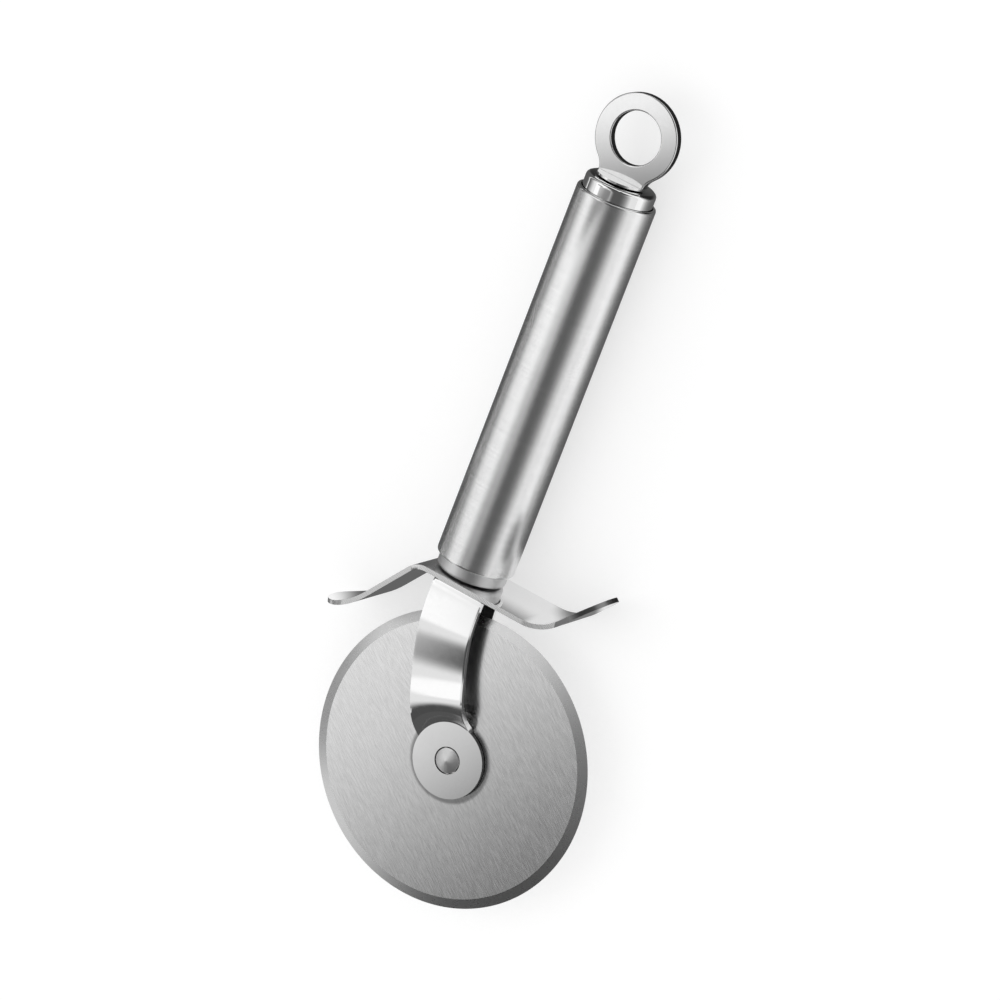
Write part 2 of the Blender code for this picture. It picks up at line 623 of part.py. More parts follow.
start_scene()
cutter_frame = bpy.data.objects.new("cutter_frame", None)
parts.objects.link(cutter_frame)
cutter_frame.location = FRAME_PLACE
wheel_axle = bpy.data.objects.new("wheel_axle", None)
parts.objects.link(wheel_axle)
wheel_axle.parent = cutter_frame
wheel_axle.location = (WHEEL_SIDE_OFFSET, 0.0, 0.0)
wheel = build_wheel(wheel_axle)
fixed_pieces = [build_bush(cutter_frame),
                build_rivet(cutter_frame),
                build_fork(cutter_frame),
                build_guard(cutter_frame),
                build_lock_washer(cutter_frame),
                build_screw(cutter_frame),
                build_plug(cutter_frame),
                build_tube(cutter_frame),
                build_cap(cutter_frame),
                build_eye(cutter_frame)]
bpy.context.view_layer.update()
shade_smooth(wheel, WHEEL_SHARP_EDGE_DEG)
for piece in fixed_pieces:
    shade_smooth(piece, SHARP_EDGE_DEG)
print("pizza cutter: axle at", [round(value, 6) for value in wheel_axle.matrix_world.translation])
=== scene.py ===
"""Looks of an all-steel pizza cutter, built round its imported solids."""

import math

import bpy
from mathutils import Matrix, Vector


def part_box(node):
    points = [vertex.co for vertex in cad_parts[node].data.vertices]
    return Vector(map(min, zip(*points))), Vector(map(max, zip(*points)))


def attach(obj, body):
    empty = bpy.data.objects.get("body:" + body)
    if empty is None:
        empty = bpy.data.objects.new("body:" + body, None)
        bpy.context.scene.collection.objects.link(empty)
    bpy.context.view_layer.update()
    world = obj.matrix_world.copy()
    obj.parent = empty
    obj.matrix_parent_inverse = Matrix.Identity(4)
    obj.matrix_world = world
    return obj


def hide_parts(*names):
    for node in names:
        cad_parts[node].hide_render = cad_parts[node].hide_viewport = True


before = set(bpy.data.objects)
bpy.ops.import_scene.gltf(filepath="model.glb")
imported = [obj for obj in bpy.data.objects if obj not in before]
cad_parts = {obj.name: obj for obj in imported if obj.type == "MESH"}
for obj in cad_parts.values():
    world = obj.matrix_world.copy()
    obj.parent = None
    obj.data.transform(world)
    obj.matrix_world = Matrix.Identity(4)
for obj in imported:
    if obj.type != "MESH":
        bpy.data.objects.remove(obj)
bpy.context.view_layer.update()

# Camera: a long lens, above the cutter and to the right of its handle, turned so that the handle leans left. Its
# place, turn and length were fitted to the outlines of the wheel, the tube and the hanging eye.
CAMERA_PLACE = (0.409568, 0.344125, 1.012050)
CAMERA_TURN = (-7.91044, 27.42765, 22.82878)
SENSOR_WIDTH = 36.0
LENS_LENGTH = 168.7277
NEAREST_SEEN = 0.05
FURTHEST_SEEN = 60.0
bpy.ops.object.camera_add(location=CAMERA_PLACE)
camera = bpy.context.object
camera.name = "camera"
camera.rotation_euler = tuple(math.radians(turn) for turn in CAMERA_TURN)
camera.data.sensor_width = SENSOR_WIDTH
camera.data.lens = LENS_LENGTH
camera.data.clip_start = NEAREST_SEEN
camera.data.clip_end = FURTHEST_SEEN
bpy.context.scene.camera = camera
bpy.context.scene.view_settings.view_transform = "Standard"

# Studio: a pale floor under the cutter, and an even white surround. The floor's own colour takes the shadow, and a
# white glow of its own brings it up to the photo's background for whatever looks at it or mirrors it.
FLOOR_HALF = 6.0
FLOOR_DROP = 0.00005
FLOOR_TONE = 0.48
FLOOR_ROUGHNESS = 0.9
FLOOR_GLOW = 0.58
SURROUND_GLOW = 0.86


def plain_material(name):
    """A new material, with its nodes and links."""
    material = bpy.data.materials.new(name)
    material.use_nodes = True
    return material, material.node_tree.nodes, material.node_tree.links


def grey(tone):
    """A grey of one tone, with no see-through."""
    return tone, tone, tone, 1.0


def chain(nodes, links, operation, values):
    """Adds or multiplies several values one after the other, from nought to one, and gives the last node's value."""
    so_far = values[0]
    for value in values[1:]:
        step = nodes.new("ShaderNodeMath")
        step.operation = operation
        step.use_clamp = True
        links.new(so_far, step.inputs[0])
        links.new(value, step.inputs[1])
        so_far = step.outputs[0]
    return so_far


bpy.ops.object.select_all(action="DESELECT")
bpy.ops.mesh.primitive_plane_add(size=2 * FLOOR_HALF, location=(0.0, 0.0, -FLOOR_DROP))
floor = bpy.context.object
floor.name = "studio_floor"
floor_paint, nodes, links = plain_material("pale_floor")
shader = nodes["Principled BSDF"]
shader.inputs["Base Color"].default_value = grey(FLOOR_TONE)
shader.inputs["Roughness"].default_value = FLOOR_ROUGHNESS
shader.inputs["Specular IOR Level"].default_value = 0.0
glow = nodes.new("ShaderNodeEmission")
glow.inputs["Color"].default_value = grey(1.0)
rays = nodes.new("ShaderNodeLightPath")
looks = [rays.outputs[kind] for kind in ("Is Camera Ray", "Is Glossy Ray", "Is Transmission Ray")]
level = nodes.new("ShaderNodeMath")
level.operation = "MULTIPLY"
level.inputs[1].default_value = FLOOR_GLOW
together = nodes.new("ShaderNodeAddShader")
links.new(chain(nodes, links, "ADD", looks), level.inputs[0])
links.new(level.outputs[0], glow.inputs["Strength"])
links.new(shader.outputs[0], together.inputs[0])
links.new(glow.outputs[0], together.inputs[1])
links.new(together.outputs[0], nodes["Material Output"].inputs["Surface"])
floor.data.materials.append(floor_paint)

surround = bpy.data.worlds.new("white_studio")
surround.use_nodes = True
bpy.context.scene.world = surround
surround.node_tree.nodes["Background"].inputs["Color"].default_value = grey(1.0)
surround.node_tree.nodes["Background"].inputs["Strength"].default_value = SURROUND_GLOW

# Lamp: one large soft box, high on the left of the wheel, that faces the middle of the cutter. It casts the soft
# shadow. What steel mirrors of it is the first card below, which has soft edges.
LAMP_PLACE = Vector((-0.95, -0.25, 1.35))
LAMP_WIDTH = 1.1
LAMP_HEIGHT = 1.5
LAMP_RADIANCE = 0.5
POWER_PER_RADIANCE = 4.0
bpy.ops.object.light_add(type="AREA", location=LAMP_PLACE)
lamp = bpy.context.object
lamp.name = "soft_box_left"
lamp.data.shape = "RECTANGLE"
lamp.data.size = LAMP_WIDTH
lamp.data.size_y = LAMP_HEIGHT
lamp.data.energy = POWER_PER_RADIANCE * LAMP_RADIANCE * LAMP_WIDTH * LAMP_HEIGHT
lamp.visible_glossy = False
lamp.rotation_euler = (-LAMP_PLACE).to_track_quat("-Z", "Y").to_euler()

# Cards: what a photographer sets round polished steel to give it light and dark edges. Only reflections see them.
# Each has a name, its middle, its turns in degrees, its width and height, its tone, and the widths over which its
# four sides (low x, high x, low y, high y) fade out.
CARDS = (
    # The soft box's bright face, over the handle's left
    ("card_bright", (-1.078, 0.5775, 1.0), (0.0, 0.0, 0.0), (1.42, 1.875), 1.12, (0.48, 0.063, 0.05, 0.5)),
    # Over the handle, to its right, so that its soft ends run past both ends of the cutter
    ("card_over", (1.22, -0.35, 1.0), (0.0, 0.0, 11.3), (2.6, 5.1), 0.10, (0.34, 1.9, 0.3, 0.8)),
    # A dark strip that runs as the wheel is brushed across, and ends where the flat faces look: it grades them
    ("card_strip", (-0.091, -1.112, 0.99), (0.0, 0.0, -31.6), (1.281, 1.45), 0.075, (0.121, 0.05, 0.051, 0.10)),
    # Upright ones on the left, and on the side where the wheel points
    ("card_left", (-1.4, 0.0, 0.30), (90.0, 0.0, 90.0), (6.0, 1.0), 0.12, (0.5, 0.5, 0.05, 0.75)),
    ("card_front", (0.6, -1.4, 0.75), (90.0, 0.0, 0.0), (3.0, 1.7), 0.09, (0.6, 0.6, 0.05, 0.5)),
    # Upright behind the hanging eye's end, for what looks back: the fork's fold and the guard's right tip
    ("card_back", (0.3, 1.3, 1.335), (90.0, 0.0, 0.0), (2.6, 2.03), 0.05, (0.3, 0.3, 0.15, 1.0)),
    # A small one over the hanging eye, too low for the tube to mirror, which grades the eye's flat face
    ("card_by_eye", (-0.0276, 0.0754, 0.06), (0.0, 0.0, 28.0), (0.038, 0.035), 0.25, (0.004, 0.004, 0.005, 0.0295)),
    # A low one beside the wheel, which only the bevel on that side mirrors
    ("card_by_bevel", (-0.106, -0.092, 0.06), (0.0, 0.0, 0.0), (0.056, 0.12), 0.17, (0.015, 0.018, 0.02, 0.02)),
    # One just under the bright card, which greys what the wheel's upper bevel mirrors of it
    ("card_for_fold", (-0.85, 0.13, 0.995), (0.0, 0.0, 0.0), (0.62, 0.46), 0.28, (0.10, 0.08, 0.08, 0.10)),
    # On the floor: left of the handle, before the wheel, and left of the guard
    ("card_floor", (-0.19, 0.144, 0.00002), (0.0, 0.0, 0.0), (0.42, 0.312), 0.11, (0.34, 0.035, 0.008, 0.1)),
    ("card_in_front", (0.0, -0.77, 0.00002), (0.0, 0.0, 0.0), (2.4, 1.26), 0.10, (0.4, 0.4, 0.3, 0.04)),
    ("card_floor_left", (-0.2245, -0.045, 0.00003), (0.0, 0.0, 0.0), (0.351, 0.07), 0.10,
     (0.30, 0.006, 0.015, 0.004)),
    # On the floor under the guard: its left wing, its crest, its right wing and its right tip. They are painted shade
    # under the guard, which only the steel mirrors
    ("card_under_left", (-0.0305, -0.034, 0.00004), (0.0, 0.0, 0.0), (0.037, 0.044), 0.13,
     (0.010, 0.012, 0.006, 0.004)),
    ("card_under_crest", (-0.0445, -0.0175, 0.00005), (0.0, 0.0, 0.0), (0.042, 0.038), 0.11,
     (0.006, 0.006, 0.005, 0.012)),
    ("card_under_right", (0.01975, -0.0235, 0.00004), (0.0, 0.0, 0.0), (0.0205, 0.012), 0.20,
     (0.006, 0.004, 0.003, 0.003)),
    ("card_under_tip", (0.0395, 0.003, 0.00005), (0.0, 0.0, 51.9), (0.043, 0.007), 0.03,
     (0.002, 0.01, 0.0015, 0.0015)),
    # On the floor right of the tube, and nearly black right under the hanging eye, as painted shade under the eye
    ("card_beside_tube", (0.01225, 0.0505, 0.00003), (0.0, 0.0, 0.0), (0.0595, 0.139), 0.12,
     (0.01, 0.042, 0.006, 0.02)),
    ("card_under_eye", (-0.0073, 0.100, 0.00004), (0.0, 0.0, 0.0), (0.05, 0.036), 0.02,
     (0.012, 0.012, 0.006, 0.008)),
)


def hang_card(name, middle, turns, size, tone, fades):
    """A flat card of one tone that glows evenly and fades out at its sides."""
    bpy.ops.object.select_all(action="DESELECT")
    bpy.ops.mesh.primitive_plane_add(size=1.0)
    card = bpy.context.object
    card.name = name
    card.scale = (*size, 1.0)
    bpy.ops.object.transform_apply(location=False, rotation=False, scale=True)
    card.location = middle
    card.rotation_euler = tuple(math.radians(turn) for turn in turns)
    material, nodes, links = plain_material(name + "_paper")
    nodes.remove(nodes["Principled BSDF"])
    paper = nodes.new("ShaderNodeEmission")
    paper.inputs["Color"].default_value = grey(tone)
    clear = nodes.new("ShaderNodeBsdfTransparent")
    mix = nodes.new("ShaderNodeMixShader")
    where = nodes.new("ShaderNodeTexCoord")
    split = nodes.new("ShaderNodeSeparateXYZ")
    links.new(where.outputs["Object"], split.inputs[0])
    sides = []
    for axis in (0, 1):
        half = size[axis] / 2
        low_fade, high_fade = fades[2 * axis:2 * axis + 2]
        for rim, full in ((-half, -half + low_fade), (half, half - high_fade)):
            side = nodes.new("ShaderNodeMapRange")
            side.interpolation_type = "SMOOTHSTEP"
            side.inputs["From Min"].default_value = rim
            side.inputs["From Max"].default_value = full
            links.new(split.outputs[axis], side.inputs["Value"])
            sides.append(side.outputs[0])
    links.new(chain(nodes, links, "MULTIPLY", sides), mix.inputs["Fac"])
    links.new(clear.outputs[0], mix.inputs[1])
    links.new(paper.outputs[0], mix.inputs[2])
    links.new(mix.outputs[0], nodes["Material Output"].inputs["Surface"])
    card.data.materials.append(material)
    card.visible_camera = False
    card.visible_diffuse = False
    card.visible_transmission = False
    card.visible_shadow = False


for card_values in CARDS:
    hang_card(*card_values)

# Wheel: a disc of hard stainless sheet, brushed in straight lines, with a bevel ground on both sides to the edge.
# It is turned up from a flat drum: inset, squeezed at the rim, and bored through for the bush. A narrow ring close
# round the fork's discs is darker: a contact shadow painted into the face's colour.
WHEEL_RADIUS = 0.0375
WHEEL_HALF = 0.00075
WHEEL_BEVEL = 0.0025
WHEEL_EDGE_HALF = 0.00005
WHEEL_BORE = 0.0048
WHEEL_SIDES = 360
WHEEL_CREASE = 8.0
RING_SLACK = 0.0001
LIES_FLAT = 0.9
PAINTED_SHADOW_INNER = 0.0106
PAINTED_SHADOW_OUTER = 0.0116
PAINTED_SHADOW_TONE = 0.45
AXLE = Vector((0.004143, -0.06755, 0.01025))


def take(piece):
    """Makes one piece the only one that is selected and worked on."""
    bpy.ops.object.select_all(action="DESELECT")
    bpy.context.view_layer.objects.active = piece
    piece.select_set(True)


def open_at(piece, kind, test):
    """Opens one piece for editing, with only the faces or edges selected that pass the test. It is given a face's
    middle and normal, or an edge's two ends."""
    take(piece)
    bpy.ops.object.mode_set(mode="EDIT")
    bpy.ops.mesh.select_mode(type=kind)
    bpy.ops.mesh.select_all(action="DESELECT")
    bpy.ops.object.mode_set(mode="OBJECT")
    mesh = piece.data
    if kind == "FACE":
        for face in mesh.polygons:
            face.select = bool(test(face.center, face.normal))
    else:
        for line in mesh.edges:
            line.select = bool(test(*(mesh.vertices[i].co for i in line.vertices)))
    bpy.ops.object.mode_set(mode="EDIT")


def leave():
    """Ends the editing of a piece."""
    bpy.ops.object.mode_set(mode="OBJECT")


def apply_place(piece):
    """Moves a piece's place and turn into its mesh."""
    take(piece)
    bpy.ops.object.transform_apply(location=True, rotation=True, scale=True)


def finish_edges(piece, crease, width=0.0, segments=0):
    """Rounds every edge that is sharper than the crease angle, where a width is given, and shades the rest smooth."""
    take(piece)
    if width:
        rounding = piece.modifiers.new("rounded_edges", "BEVEL")
        rounding.width = width
        rounding.segments = segments
        rounding.limit_method = "ANGLE"
        rounding.angle_limit = math.radians(crease)
        rounding.harden_normals = False
        bpy.ops.object.modifier_apply(modifier=rounding.name)
    bpy.ops.object.shade_smooth_by_angle(angle=math.radians(crease))
    evening = piece.modifiers.new("even_shading", "WEIGHTED_NORMAL")
    evening.keep_sharp = True
    bpy.ops.object.modifier_apply(modifier=evening.name)


def from_axle(point):
    """Distance from the axle's line."""
    return math.hypot(point.x - AXLE.x, point.y - AXLE.y)


def ring_of(radius):
    """A test for the edges that lie on one circle about the axle."""
    return lambda *ends: all(abs(from_axle(end) - radius) < RING_SLACK for end in ends)


def lies_flat(centre, normal):
    """A test for the faces that look straight up or down."""
    return abs(normal.z) > LIES_FLAT


def everything(*where):
    """A test that every face and every edge passes."""
    return True


bpy.ops.object.select_all(action="DESELECT")
bpy.ops.mesh.primitive_cylinder_add(vertices=WHEEL_SIDES, radius=WHEEL_RADIUS, depth=2 * WHEEL_HALF, location=AXLE)
wheel = bpy.context.object
wheel.name = "ground_wheel"
apply_place(wheel)
open_at(wheel, "FACE", lies_flat)
bpy.ops.mesh.inset(thickness=WHEEL_BEVEL, depth=0.0)
bpy.ops.mesh.inset(thickness=WHEEL_RADIUS - WHEEL_BEVEL - WHEEL_BORE, depth=0.0)
bpy.ops.mesh.delete(type="ONLY_FACE")
leave()
open_at(wheel, "EDGE", ring_of(WHEEL_BORE))
bpy.ops.mesh.bridge_edge_loops()
leave()
open_at(wheel, "EDGE", ring_of(WHEEL_RADIUS))
bpy.ops.transform.resize(value=(1.0, 1.0, WHEEL_EDGE_HALF / WHEEL_HALF), center_override=AXLE)
leave()
open_at(wheel, "FACE", everything)
bpy.ops.mesh.normals_make_consistent(inside=False)
leave()

# Fine lines in one direction, as a brush or a grinding belt leaves them, for every steel of the cutter
LINE_DETAIL = 3.0
LINE_HARSHNESS = 0.62
NOISE_LOW = 0.3
NOISE_HIGH = 0.7
fine_lines = bpy.data.node_groups.new("fine_lines", "ShaderNodeTree")
fine_lines.interface.new_socket("Vector", in_out="INPUT", socket_type="NodeSocketVector")
fine_lines.interface.new_socket("Height", in_out="OUTPUT", socket_type="NodeSocketFloat")
fine_lines.interface.new_socket("Tone", in_out="OUTPUT", socket_type="NodeSocketFloat")
inside = fine_lines.nodes.new("NodeGroupInput")
outside = fine_lines.nodes.new("NodeGroupOutput")
fine = fine_lines.nodes.new("ShaderNodeTexNoise")
fine.inputs["Scale"].default_value = 1.0
fine.inputs["Detail"].default_value = LINE_DETAIL
fine.inputs["Roughness"].default_value = LINE_HARSHNESS
broad = fine_lines.nodes.new("ShaderNodeTexNoise")
broad.inputs["Scale"].default_value = 1.0
broad.inputs["Detail"].default_value = 1.0
fine_lines.links.new(inside.outputs["Vector"], fine.inputs["Vector"])
fine_lines.links.new(inside.outputs["Vector"], broad.inputs["Vector"])
fine_lines.links.new(fine.outputs[0], outside.inputs["Height"])
fine_lines.links.new(broad.outputs[0], outside.inputs["Tone"])


def spread_over(nodes, links, value, middle, spread):
    """The noise's value, stretched to lie a little below and above a middle one."""
    stretch = nodes.new("ShaderNodeMapRange")
    stretch.inputs["From Min"].default_value = NOISE_LOW
    stretch.inputs["From Max"].default_value = NOISE_HIGH
    stretch.inputs["To Min"].default_value = middle - spread
    stretch.inputs["To Max"].default_value = middle + spread
    links.new(value, stretch.inputs["Value"])
    return stretch.outputs[0]


def steel_finish(name, colour, roughness, rough_spread, lines_per_metre, line_depth, turn=0.0, tone_spread=0.0,
                 anisotropy=0.0, tangent=None):
    """Bare steel with fine lines, so many to the metre along each axis once it is turned about the upright one."""
    material, nodes, links = plain_material(name)
    shader = nodes["Principled BSDF"]
    shader.inputs["Base Color"].default_value = (*colour, 1.0)
    shader.inputs["Metallic"].default_value = 1.0
    shader.inputs["Anisotropic"].default_value = anisotropy
    where = nodes.new("ShaderNodeTexCoord")
    turned = nodes.new("ShaderNodeMapping")
    turned.vector_type = "TEXTURE"
    turned.inputs["Rotation"].default_value = (0.0, 0.0, math.radians(turn))
    turned.inputs["Scale"].default_value = tuple(1.0 / lines for lines in lines_per_metre)
    lines = nodes.new("ShaderNodeGroup")
    lines.node_tree = fine_lines
    links.new(where.outputs["Object"], turned.inputs["Vector"])
    links.new(turned.outputs["Vector"], lines.inputs["Vector"])
    links.new(spread_over(nodes, links, lines.outputs["Tone"], roughness, rough_spread), shader.inputs["Roughness"])
    groove = nodes.new("ShaderNodeBump")
    groove.inputs["Strength"].default_value = 1.0
    groove.inputs["Distance"].default_value = line_depth
    links.new(lines.outputs["Height"], groove.inputs["Height"])
    links.new(groove.outputs["Normal"], shader.inputs["Normal"])
    if tone_spread:
        tint = nodes.new("ShaderNodeVectorMath")
        tint.operation = "SCALE"
        tint.inputs[0].default_value = colour
        links.new(spread_over(nodes, links, lines.outputs["Tone"], 1.0, tone_spread), tint.inputs["Scale"])
        links.new(tint.outputs[0], shader.inputs["Base Color"])
    if tangent is not None:
        along = nodes.new("ShaderNodeCombineXYZ")
        for axis, value in enumerate(tangent):
            along.inputs[axis].default_value = value
        links.new(along.outputs[0], shader.inputs["Tangent"])
    return material


face_steel = steel_finish("wheel_face_steel", colour=(0.87, 0.87, 0.87), roughness=0.20, rough_spread=0.02,
                          lines_per_metre=(420.0, 10000.0, 420.0), line_depth=0.0000004, turn=-37.0, tone_spread=0.14,
                          anisotropy=0.42, tangent=(0.6, 0.8, 0.0))
bevel_steel = steel_finish("wheel_bevel_steel", colour=(0.76, 0.76, 0.76), roughness=0.28, rough_spread=0.01,
                           lines_per_metre=(900.0, 900.0, 900.0), line_depth=0.0000001)

# Painted contact shadow: the face's colour is scaled down by how near a point lies to the fork's discs
nodes, links = face_steel.node_tree.nodes, face_steel.node_tree.links
where = nodes.new("ShaderNodeTexCoord")
level_with_axle = nodes.new("ShaderNodeVectorMath")
level_with_axle.operation = "MULTIPLY"
level_with_axle.inputs[1].default_value = (1.0, 1.0, 0.0)
how_far = nodes.new("ShaderNodeVectorMath")
how_far.operation = "DISTANCE"
how_far.inputs[1].default_value = (AXLE.x, AXLE.y, 0.0)
painted_shadow = nodes.new("ShaderNodeMapRange")
painted_shadow.interpolation_type = "SMOOTHSTEP"
painted_shadow.inputs["From Min"].default_value = PAINTED_SHADOW_INNER
painted_shadow.inputs["From Max"].default_value = PAINTED_SHADOW_OUTER
painted_shadow.inputs["To Min"].default_value = PAINTED_SHADOW_TONE
shadowed_colour = nodes.new("ShaderNodeVectorMath")
shadowed_colour.operation = "SCALE"
face_colour = nodes["Principled BSDF"].inputs["Base Color"]
links.new(face_colour.links[0].from_socket, shadowed_colour.inputs[0])
links.new(where.outputs["Object"], level_with_axle.inputs[0])
links.new(level_with_axle.outputs[0], how_far.inputs[0])
links.new(how_far.outputs["Value"], painted_shadow.inputs["Value"])
links.new(painted_shadow.outputs[0], shadowed_colour.inputs["Scale"])
links.new(shadowed_colour.outputs[0], face_colour)
wheel.data.materials.append(face_steel)
wheel.data.materials.append(bevel_steel)
for face in wheel.data.polygons:
    face.material_index = 1 if from_axle(face.center) > WHEEL_RADIUS - WHEEL_BEVEL else 0
finish_edges(wheel, WHEEL_CREASE)
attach(wheel, "wheel")
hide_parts("cutting_wheel")

# Axle rivet: a turned steel pin that passes the fork's discs and the bush. Its two heads sit in countersunk seats in
# the discs and are raised to shallow cones. The pin is stepped out at both ends at once: seat, rim and cone.
RIVET_SHANK = 0.0025
RIVET_HEAD = 0.0032
RIVET_UNDER = 0.00195
RIVET_RIM = 0.00220
RIVET_APEX = 0.00310
RIVET_TIP_SHARE = 0.04
RIVET_SIDES = 128
RIVET_EASE = 0.00006
RIVET_EASE_STEPS = 2
RIVET_CREASE = 40.0
bpy.ops.object.select_all(action="DESELECT")
bpy.ops.mesh.primitive_cylinder_add(vertices=RIVET_SIDES, radius=RIVET_SHANK, depth=2 * RIVET_UNDER, location=AXLE)
rivet = bpy.context.object
rivet.name = "raised_rivet"
apply_place(rivet)
open_at(rivet, "FACE", lies_flat)
wider = RIVET_HEAD / RIVET_SHANK
rise = RIVET_RIM + (RIVET_APEX - RIVET_RIM) * (1 - RIVET_TIP_SHARE)
for growth in ((wider, wider, 1.0), (1.0, 1.0, RIVET_RIM / RIVET_UNDER),
               (RIVET_TIP_SHARE, RIVET_TIP_SHARE, rise / RIVET_RIM)):
    bpy.ops.mesh.extrude_region()
    bpy.ops.transform.resize(value=growth, center_override=AXLE)
leave()
rivet.data.materials.append(
    steel_finish("turned_steel", colour=(0.80, 0.80, 0.80), roughness=0.44, rough_spread=0.03,
                 lines_per_metre=(1500.0, 1500.0, 1500.0), line_depth=0.0000005))
finish_edges(rivet, RIVET_CREASE, RIVET_EASE, RIVET_EASE_STEPS)
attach(rivet, "handle")
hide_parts("axle_rivet")

# Fork: one polished steel strip with a disc at each end, folded to a U over the wheel and bent sideways to its axle.
# Half of it is drawn out row by row from one disc's rim, mirrored, and given its thickness. A shallow wave along
# each prong gives the photo's light and dark bands, and a short steep step brings the strip down to the disc.
HANDLE_X = AXLE.x - 0.01306
FORK_SIDE_SHIFT = 0.0006
FORK_TOP_Y = AXLE.y + 0.0433
FORK_THICKNESS = 0.0012
FORK_HALF_WIDTH = 0.0072
FORK_HALF_SPREAD = 0.0051
FORK_FOLD_RADIUS = 0.0030
FORK_EASE = 0.00025
FORK_EASE_STEPS = 3
CREASE = 35.0
DISC_RADIUS = 0.0097
DISC_FACE = 0.00225
DISC_HOLE = 0.0035
DISC_SIDES = 90
SEAM_SIDES = 24
SEAM_RIM_SHARE = 0.99
SEAM_SLACK = 0.01
STEP_RUN = 0.0037
STEP_BEND = 2.0
STEP_ROWS = 14
PRONG_ROWS = 36
FOLD_ROWS = 12
SCREW_HOLE_RADIUS = 0.0023
PUNCH_DEPTH = 0.006
PUNCH_SIDES = 64
WELD = 0.000002
SHADE_INSET = 0.0008
SHADE_REACH = 0.006
# Slope of the prong's outer face in degrees, at distances from the axle
PRONG_SLOPES = (
    (0.0128, 6.0), (0.0172, -4.6), (0.0184, -4.6), (0.0264, 3.6), (0.0296, 3.6), (0.0358, -3.8), (0.0440, -1.4),
)
SLOPE_PIECES = 200

fold_start = FORK_TOP_Y - FORK_FOLD_RADIUS
fork_middle = HANDLE_X + FORK_SIDE_SHIFT
side_way = AXLE.x - fork_middle
rise_way = fold_start - AXLE.y
sweep_radius = (side_way ** 2 + rise_way ** 2) / (2 * side_way)
sweep_angle = math.asin(rise_way / sweep_radius)
prong_length = sweep_radius * sweep_angle


def strip_place(back):
    """Middle of the strip and its crosswise direction, at a distance back from the axle."""
    swing = sweep_angle - back / sweep_radius
    across = Vector((math.cos(swing), math.sin(swing), 0.0))
    return Vector((fork_middle + sweep_radius, fold_start, 0.0)) - across * sweep_radius, across


def prong_slope(back):
    """Slope of the prong's outer face at a distance from the axle, eased from each stated one to the next."""
    for (low, low_slope), (high, high_slope) in zip(PRONG_SLOPES, PRONG_SLOPES[1:]):
        if back <= high:
            share = max(0.0, (back - low) / (high - low))
            return math.radians(low_slope + (high_slope - low_slope) * (3 - 2 * share) * share ** 2)
    return math.radians(PRONG_SLOPES[-1][1])


def prong_face(back):
    """Height of the prong's outer face over the wheel's middle, summed up from the fold by its slopes."""
    step = (prong_length - back) / SLOPE_PIECES
    return FORK_HALF_SPREAD - sum(math.tan(prong_slope(back + (i + 0.5) * step)) * step for i in range(SLOPE_PIECES))


def prong_points(back, height):
    """One row across the strip; near the disc the rows are arcs about the axle, further up they are straight."""
    middle, across = strip_place(back)
    away = middle - Vector((AXLE.x, AXLE.y, 0.0))
    straightness = min(1.0, (back - DISC_RADIUS) / (2 * STEP_RUN))
    heading = math.atan2(away.y, away.x)
    half_angle = math.asin(FORK_HALF_WIDTH / away.length)
    points = []
    for i in range(SEAM_SIDES + 1):
        side = 2 * i / SEAM_SIDES - 1
        flat = middle + across * FORK_HALF_WIDTH * side
        angle = heading - half_angle * side
        bowed = Vector((AXLE.x + away.length * math.cos(angle), AXLE.y + away.length * math.sin(angle), 0.0))
        point = bowed.lerp(flat, straightness)
        points.append((point.x, point.y, AXLE.z + height))
    return points


def fold_points(y, height):
    """One straight row across the strip, in the fold."""
    return [(fork_middle + FORK_HALF_WIDTH * (2 * i / SEAM_SIDES - 1), y, AXLE.z + height)
            for i in range(SEAM_SIDES + 1)]


def draw_row(strip, points):
    """Extrudes the strip's open end once and lays the new row on the points, which run with x."""
    bpy.ops.object.mode_set(mode="EDIT")
    bpy.ops.mesh.extrude_region()
    bpy.ops.object.mode_set(mode="OBJECT")
    row = sorted((vertex for vertex in strip.data.vertices if vertex.select), key=lambda vertex: vertex.co.x)
    for vertex, point in zip(row, points):
        vertex.co = point


neck = strip_place(DISC_RADIUS)[0]
neck_heading = math.atan2(neck.y - AXLE.y, neck.x - AXLE.x)
seam_turn = math.radians(360.0 / DISC_SIDES) * SEAM_SIDES / 2
bpy.ops.object.select_all(action="DESELECT")
bpy.ops.mesh.primitive_circle_add(vertices=DISC_SIDES, radius=DISC_RADIUS,
                                  location=AXLE + Vector((0.0, 0.0, DISC_FACE)),
                                  rotation=(0.0, 0.0, neck_heading + seam_turn - math.radians(90.0)))
fork = bpy.context.object
fork.name = "polished_fork"
apply_place(fork)
open_at(fork, "EDGE", everything)
bpy.ops.mesh.extrude_region()
bpy.ops.transform.resize(value=(DISC_HOLE / DISC_RADIUS, DISC_HOLE / DISC_RADIUS, 1.0), center_override=AXLE)
leave()


def on_seam(*ends):
    """A test for the edges of the disc's rim that the strip grows from."""
    for end in ends:
        away = Vector((end.x - AXLE.x, end.y - AXLE.y))
        turn = math.atan2(away.y, away.x) - neck_heading
        turn = (turn + math.pi) % (2 * math.pi) - math.pi
        if away.length < DISC_RADIUS * SEAM_RIM_SHARE or abs(turn) > seam_turn + SEAM_SLACK:
            return False
    return True


